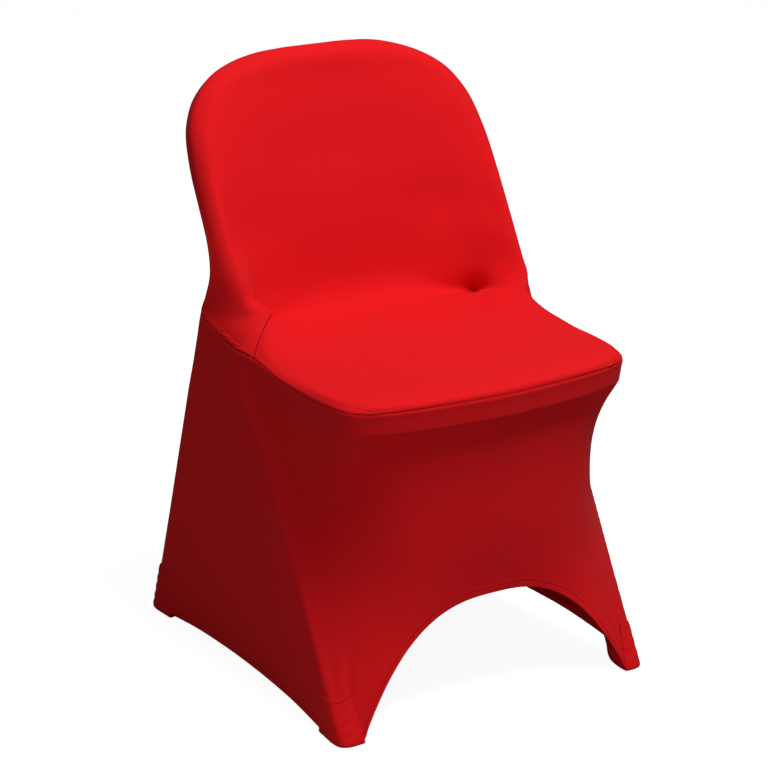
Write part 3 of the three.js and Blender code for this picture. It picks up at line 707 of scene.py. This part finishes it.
# %% Foot pockets
# Steps up from the hem at which the patch's wall is placed
POCKET_ROWS = {"front": (1.35, 1, 0.5, 0), "rear": (1.7, 1.1, 0.5, 0)}
POCKET_SIDE = 0.35
TONGUE = 36
POCKET_STAND = 2.3       # mm from the hem's middle to the patch's middle
POCKET_FLARE = 0.2
POCKET_INSET = 3.5
POCKET_BOW = 8
POCKET_RIM = 0.5         # mm by which the patch's turned-in rim dips to the cloth under it
GATHER = {"pitch": 16, "front": 0.25, "rear": 0.45}     # mm between the patch's gathers, and their heights
GATHER_SLANT = 0.35
GATHER_DRIFT = {"by": 0.8, "over": 9}      # how unevenly they lie
WALL_ROWS = 2.6          # coarse rows of the patch's wall, under which the gathers end
POCKET_STITCH = 6        # mm by which the hem's stitch lines are moved up to lie near the patch's top edge
SOLE = 1                 # mm from the floor to the middle of the sole
OUT, FRONT = 0, np.radians(90)
PATCH_LINES = (0, 0.6, 1.4, 2.6, 4.2)
TONGUE_LINES = (0, 1, 3)


def sample(grid, column, up):
    """A place in a coarse grid, up a number of rows from its last, between rows and columns as needed."""
    row = len(grid) - 1 - up
    low_c, high_c, low_r, high_r = (int(f(v)) for v in (column, row) for f in (np.floor, np.ceil))
    upper = mix(grid[low_r, low_c], grid[low_r, high_c], column - low_c)
    lower = mix(grid[high_r, low_c], grid[high_r, high_c], column - low_c)
    return mix(upper, lower, row - low_r)


def pocket_grid(corner, leg, side):
    """Wall, sole and tongue of a pocket, as one coarse grid, from left to right as seen from outside."""
    outward = np.array([(side * np.cos(angle), -np.sin(angle), 0) for _, _, angle in corner])
    stand = np.full((len(corner), 1), POCKET_STAND)
    stand[[0, -1]] += POCKET_FLARE
    wall = [np.array([sample(grid, column, up) for grid, column, _ in corner]) + outward * stand
            for up in POCKET_ROWS[leg]]
    outer = wall[-1].copy()
    outer[:, 2] = SOLE
    inside = np.array([sample(grid, column, 0) for grid, column, _ in corner]) - outward * POCKET_INSET
    inside[:, 2] = SOLE
    t = np.linspace(0, 1, len(corner))[:, None]
    back = np.array((-side, 1 if leg == "front" else -1, 0)) / np.sqrt(2)
    chord = mix(inside[0], inside[-1], t) + back * POCKET_BOW * np.sin(np.pi * t)
    tongue = [chord + np.array((0, LEGS[leg][side]["slope"], 1)) * share * TONGUE for share in (0.5, 1)]
    return np.array([*wall, outer, (outer + chord) / 2, chord, *tongue])


skirt_last, rear_last = skirt.shape[1] - 1, rear.shape[1] - 1
for side, word in ((-1, "left"), (1, "right")):
    def on_skirt(column):
        return column if side < 0 else skirt_last - column

    def on_rear(column):
        return rear_last - column if side < 0 else column
    front_corner = [(skirt, on_skirt(ridge + step), angle) for step, angle in (
        (-1 - POCKET_SIDE, OUT), (-1, OUT), (0, FRONT / 2), (1, FRONT), (2, FRONT))]
    rear_corner = [(rear, on_rear(2.5), REAR_WRAP), (rear, on_rear(1), REAR_WRAP),
                   (skirt, on_skirt(0), REAR_SEAM_ANGLE), (skirt, on_skirt(1), OUT),
                   (skirt, on_skirt(1 + POCKET_SIDE), OUT)]
    for end, corner in (("front", front_corner), ("rear", rear_corner)):
        corner = corner if side < 0 else corner[::-1]
        grid = fine(pocket_grid(corner, end, side), PATCH_LINES, TONGUE_LINES, PATCH_LINES,
                    rows=60, columns=36)
        down, _, left, right = edge_distances(grid)
        on_wall = smooth(down / 12) * (1 - smooth((grid[..., 3] - WALL_ROWS) / 0.4))
        turns = 2 * np.pi * (down + GATHER_SLANT * left) / GATHER["pitch"]
        waves = np.sin(turns + GATHER_DRIFT["by"] * np.sin(left / GATHER_DRIFT["over"]))
        rim_dip = POCKET_RIM * (bell(down, 2) + bell(left, 1.6) + bell(right, 1.6))
        grid = raised(grid, GATHER[end] * waves * on_wall - rim_dip)
        along = run_along(grid.swapaxes(0, 1)).swapaxes(0, 1)
        lines = {"hem": down + POCKET_STITCH, "run": along}
        piece = shell(f"foot_pocket_{end}_{word}_cloth", grid, lines, back=0)
        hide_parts(f"foot_pocket_{end}_{word}")

# %% [markdown]
# The cloth is knitted from fine loops, about as small as a pixel in the picture but plain to see from
# close by. One node group draws them from the "cloth" UV, which is in metres of worn cloth: rows of small
# V shapes for the height, painted shade in the hollows between them, and a slow mottle in the tone. The
# loops fade out far from the camera, where they would only flicker. The sewn lines come from the distances
# that the pieces carry, so a line stays thin however wide the mesh's faces are; along the seams the
# darkening is painted shade in the crease. Matt fibres give hardly any mirror light, only a little sheen.

# %% Node helpers
class Nodes:
    """Builds a node tree from short calls. A value can be a number or another node's output."""

    def __init__(self, tree):
        self.tree = tree

    def add(self, kind, inputs=(), **settings):
        node = self.tree.nodes.new(kind)
        for key, value in settings.items():
            setattr(node, key, value)
        for socket, value in dict(inputs).items():
            self.put(node.inputs[socket], value)
        return node

    def put(self, socket, value):
        if isinstance(value, bpy.types.NodeSocket):
            self.tree.links.new(value, socket)
        else:
            socket.default_value = value

    def math(self, operation, *values):
        return self.add("ShaderNodeMath", dict(enumerate(values)), operation=operation).outputs[0]

    def ramp(self, value, low, high):
        """A soft step from 0 at low to 1 at high."""
        node = self.add("ShaderNodeMapRange", {"Value": value, "From Min": low, "From Max": high},
                        interpolation_type="SMOOTHSTEP")
        return node.outputs["Result"]

    def line(self, distance, place, width):
        """1 on a line at that distance, falling to 0 over its width."""
        away = self.math("ABSOLUTE", self.math("SUBTRACT", distance, place))
        return self.math("SUBTRACT", 1, self.ramp(away, 0, width))

    def noise(self, place, look):
        settings = {"Vector": place, "Scale": look["scale"], "Detail": look["detail"]}
        return self.add("ShaderNodeTexNoise", settings).outputs[0]

    def attribute(self, name):
        return self.add("ShaderNodeAttribute", attribute_name=name).outputs["Fac"]


# %% Knit and stitches
WALE = 0.95              # mm from one column of loops to the next
COURSE = 0.75            # mm from one row of loops to the next
LOOP_HEIGHT = 0.16
MEAN_KNIT = 0.45         # the loops' mean, which takes over where they are too far away to be told apart
KNIT_FADES = (1.4, 2.6)  # m from the camera
THREAD_DEPTH = 0.35
STITCH = 3.2             # mm from one stitch to the next
# At the seams the darkening is painted shade in the seam's crease; the needle and dart lines are drawn
# darker.
NEEDLE_WIDTH, DART_WIDTH, SEAM_WIDTH = 1.0, 1.9, 1.3      # mm over which each line fades
NEEDLE_SHADE, DART_SHADE, SEAM_PAINTED_SHADE = 0.55, 0.9, 0.6     # how far each line turns to the deep red
MOTTLE = {"scale": 55.0, "detail": 3.0, "shade": 0.12}
GRAIN = {"scale": 700.0, "detail": 2.0, "shade": 0.25}
# Painted shade in the hollows between the loops: the colour darkens where the loops' height is low.
LOOP_PAINTED_SHADE = 0.22
RED = (0.73, 0.008, 0.011, 1)
DEEP_RED = (0.25, 0.002, 0.003, 1)


def knit_group():
    """Colour and height of the cloth, in mm, from its UV and the distances to its sewn lines. The colour
    carries painted shade between the loops and along the seams.
    """
    tree = bpy.data.node_groups.new("knit", "ShaderNodeTree")
    for name, kind in (("Color", "NodeSocketColor"), ("Height", "NodeSocketFloat")):
        tree.interface.new_socket(name, in_out="OUTPUT", socket_type=kind)
    made = Nodes(tree)
    cloth = made.add("ShaderNodeUVMap", uv_map="cloth").outputs["UV"]
    across, down, _ = made.add("ShaderNodeSeparateXYZ", {"Vector": cloth}).outputs
    wale = made.math("MULTIPLY", across, 1 / (WALE * MM))
    course = made.math("MULTIPLY", down, 1 / (COURSE * MM))
    lean = made.math("ABSOLUTE", made.math("SUBTRACT", made.math("FRACT", wale), 0.5))
    legs = made.math("ABSOLUTE", made.math("SINE", made.math("MULTIPLY", wale, 2 * np.pi)))
    loops = made.math("SINE", made.math("MULTIPLY", made.math("ADD", course, lean), 2 * np.pi))
    sharp = made.math("MULTIPLY", legs, made.math("ADD", 0.7, made.math("MULTIPLY", loops, 0.3)))
    far = made.ramp(made.add("ShaderNodeCameraData").outputs["View Distance"], *KNIT_FADES)
    knit = made.math("ADD", MEAN_KNIT, made.math("MULTIPLY", made.math("SUBTRACT", sharp, MEAN_KNIT),
                                                 made.math("SUBTRACT", 1, far)))
    seam, hem, dart, run = (made.attribute(name) for name in LINE_NAMES)
    stitch = made.ramp(made.math("SINE", made.math("MULTIPLY", run, 2 * np.pi / STITCH)), -0.9, -0.3)
    needles = made.math("ADD", *(made.line(hem, place, NEEDLE_WIDTH) for place in NEEDLE_LINES))
    sewn = made.math("MULTIPLY", needles, stitch)
    dart_line = made.line(dart, 0, DART_WIDTH)
    # Painted shade along each seam's crease, darkest at the edge and gone within the seam's width.
    seam_crease_shade = made.line(seam, 0, SEAM_WIDTH)
    mottled, grained = (
        made.math("MULTIPLY", made.math("SUBTRACT", made.noise(cloth, look), 0.5), look["shade"])
        for look in (MOTTLE, GRAIN))
    shade = made.math("ADD", mottled, grained)
    # Painted shade: darker between the loops, where the knit's height is low.
    painted_loop_shade = made.math("MULTIPLY", made.math("SUBTRACT", 0.5, knit), LOOP_PAINTED_SHADE)
    shade = made.math("ADD", shade, painted_loop_shade)
    for line, depth in ((sewn, NEEDLE_SHADE), (dart_line, DART_SHADE), (seam_crease_shade, SEAM_PAINTED_SHADE)):
        shade = made.math("ADD", shade, made.math("MULTIPLY", line, depth))
    color = made.add("ShaderNodeMix", data_type="RGBA", blend_type="MIX")
    made.put(color.inputs[0], made.math("MAXIMUM", made.math("MINIMUM", shade, 1), 0))
    made.put(color.inputs[6], RED)
    made.put(color.inputs[7], DEEP_RED)
    height = made.math("MULTIPLY", knit, LOOP_HEIGHT)
    for line, depth in ((sewn, THREAD_DEPTH), (dart_line, 2 * THREAD_DEPTH)):
        height = made.math("SUBTRACT", height, made.math("MULTIPLY", line, depth))
    out = made.add("NodeGroupOutput")
    made.put(out.inputs["Color"], color.outputs[2])
    made.put(out.inputs["Height"], height)
    return tree


def knit_material():
    material = bpy.data.materials.new("red_knit")
    material.use_nodes = True
    made = Nodes(material.node_tree)
    shader = material.node_tree.nodes["Principled BSDF"]
    group = made.add("ShaderNodeGroup", node_tree=knit_group())
    bump = made.add("ShaderNodeBump", {"Height": group.outputs["Height"], "Distance": MM, "Strength": 0.8})
    made.put(shader.inputs["Base Color"], group.outputs["Color"])
    made.put(shader.inputs["Normal"], bump.outputs["Normal"])
    shader.inputs["Roughness"].default_value = 0.8
    shader.inputs["Specular IOR Level"].default_value = 0.06
    shader.inputs["Sheen Weight"].default_value = 0.08
    shader.inputs["Sheen Roughness"].default_value = 0.5
    shader.inputs["Sheen Tint"].default_value = (1, 0.25, 0.25, 1)
    return material


red_knit = knit_material()
for piece in root_pieces:
    piece.data.materials.append(red_knit)
    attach(piece, "root")

# %% Floor, light and backdrop
floor = bpy.data.objects.new("floor", bpy.data.meshes.new("floor"))
bpy.context.scene.collection.objects.link(floor)
FLOOR = 12                # m from its middle to each side
floor_corners = [(x * FLOOR, y * FLOOR, 0) for x, y in ((-1, -1), (1, -1), (1, 1), (-1, 1))]
floor.data.from_pydata(floor_corners, [], [(0, 1, 2, 3)])
PAPER_WHITE = 0.93        # glow that only the camera sees, so the backdrop is white and casts no red back
paper = bpy.data.materials.new("paper")
paper.use_nodes = True
paper_shader = paper.node_tree.nodes["Principled BSDF"]
paper_shader.inputs["Base Color"].default_value = (0.35, 0.35, 0.35, 1)
paper_shader.inputs["Roughness"].default_value = 0.9
paper_shader.inputs["Emission Color"].default_value = (1, 1, 1, 1)
seen_by = paper.node_tree.nodes.new("ShaderNodeLightPath")
glow = paper.node_tree.nodes.new("ShaderNodeMath")
glow.operation = "MULTIPLY"
glow.inputs[1].default_value = PAPER_WHITE
paper.node_tree.links.new(seen_by.outputs["Is Camera Ray"], glow.inputs[0])
paper.node_tree.links.new(glow.outputs["Value"], paper_shader.inputs["Emission Strength"])
floor.data.materials.append(paper)


LIT_PLACE = (0, 0, 0.4)


def soft_lamp(name, place, size, power):
    """A square lamp in metres and watts that looks at the middle of the cover."""
    lamp = bpy.data.objects.new(name, bpy.data.lights.new(name, "AREA"))
    bpy.context.scene.collection.objects.link(lamp)
    lamp.location = place
    lamp.data.size = size
    lamp.data.energy = power
    look_at(lamp, LIT_PLACE)


soft_lamp("top_light", (0.3, -0.95, 2.7), 1.1, 55)
soft_lamp("fill_light", (-2.0, -2.6, 1.3), 1.4, 13)

AMBIENT = 0.13           # light from all round, while the camera sees a white backdrop
bpy.context.scene.view_settings.view_transform = "Standard"
world = bpy.data.worlds.new("studio")
bpy.context.scene.world = world
world.use_nodes = True
backdrop = world.node_tree.nodes["Background"]
backdrop.inputs["Color"].default_value = (1, 1, 1, 1)
seen = world.node_tree.nodes.new("ShaderNodeLightPath")
strength = world.node_tree.nodes.new("ShaderNodeMapRange")
strength.inputs["To Min"].default_value = AMBIENT
strength.inputs["To Max"].default_value = 1
world.node_tree.links.new(seen.outputs["Is Camera Ray"], strength.inputs["Value"])
world.node_tree.links.new(strength.outputs["Result"], backdrop.inputs["Strength"])
